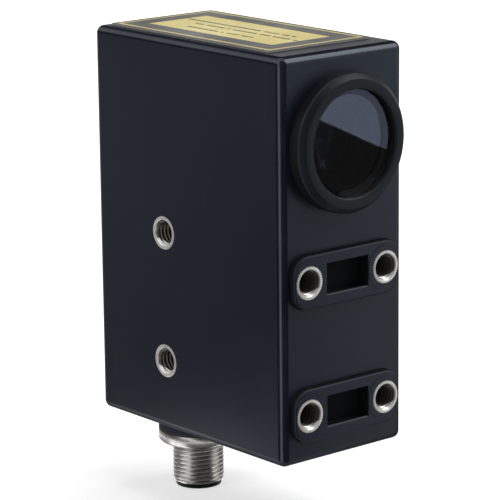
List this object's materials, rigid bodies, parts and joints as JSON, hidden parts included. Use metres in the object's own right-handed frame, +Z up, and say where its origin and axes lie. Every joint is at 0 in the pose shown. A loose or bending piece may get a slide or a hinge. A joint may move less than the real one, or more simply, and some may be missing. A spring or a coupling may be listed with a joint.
{
  "type": "contrast sensor",
  "caption": "Box-shaped contrast sensor with a hooded front lens, raised front pads with threaded inserts, side inserts, a top label and a round screw connector below.",
  "frame": {"origin": "centre of the four front inserts, in the plane of their faces", "axes": "-Y the way the lens looks, +X across the width, +Z up towards the label; the connector points down"},
  "size_m": [0.0356, 0.0696, 0.1106],
  "materials": {
    "housing_plastic": "satin moulded",
    "cover_plastic": "satin moulded",
    "rubber": "matt",
    "hood_plastic": "satin",
    "clear_glass": "polished",
    "barrel_metal": "black anodised",
    "block_plastic": "matt",
    "indicator_plastic": "translucent",
    "label_foil": "printed foil",
    "label_ink": "printed",
    "screw_steel": "zinc plated",
    "insert_nickel": "nickel plated brass",
    "shell_nickel": "nickel plated brass",
    "carrier_plastic": "matt",
    "contact_gold": "gold plated",
    "board_laminate": "solder mask",
    "chip_resin": "moulded",
    "can_aluminium": "plain",
    "led_ceramic": "plain"
  },
  "bodies": {
    "root": {"housing": "housing_plastic", "rear_cover": "cover_plastic", "rear_gasket": "rubber", "cover_screw_1": "screw_steel", "cover_screw_2": "screw_steel", "cover_screw_3": "screw_steel", "cover_screw_4": "screw_steel", "indicator_window_1": "indicator_plastic", "indicator_window_2": "indicator_plastic", "top_label": "label_foil", "label_print": "label_ink", "lens_hood": "hood_plastic", "lens_seal": "rubber", "front_glass": "clear_glass", "glass_seal": "rubber", "lens_barrel": "barrel_metal", "objective_lens": "clear_glass", "lens_lock_ring": "barrel_metal", "optics_block": "block_plastic", "chamber_lid": "block_plastic", "beam_splitter": "clear_glass", "condenser_lens": "clear_glass", "emitter_board": "board_laminate", "emitter_led": "led_ceramic", "emitter_screws": "screw_steel", "receiver_board": "board_laminate", "photodiode": "chip_resin", "receiver_screws": "screw_steel", "optics_screw_1": "screw_steel", "optics_screw_2": "screw_steel", "optics_screw_3": "screw_steel", "optics_screw_4": "screw_steel", "main_board": "board_laminate", "processor": "chip_resin", "inductor": "chip_resin", "capacitor_1": "can_aluminium", "capacitor_2": "can_aluminium", "emitter_header": "chip_resin", "receiver_header": "chip_resin", "front_insert_1": "insert_nickel", "front_insert_2": "insert_nickel", "front_insert_3": "insert_nickel", "front_insert_4": "insert_nickel", "side_insert_1": "insert_nickel", "side_insert_2": "insert_nickel", "side_insert_3": "insert_nickel", "side_insert_4": "insert_nickel", "connector_shell": "shell_nickel", "connector_seal": "rubber", "connector_nut": "shell_nickel", "contact_carrier": "carrier_plastic", "contact_pin_1": "contact_gold", "contact_pin_2": "contact_gold", "contact_pin_3": "contact_gold", "contact_pin_4": "contact_gold", "connector_board": "board_laminate"}
  },
  "joints": []
}
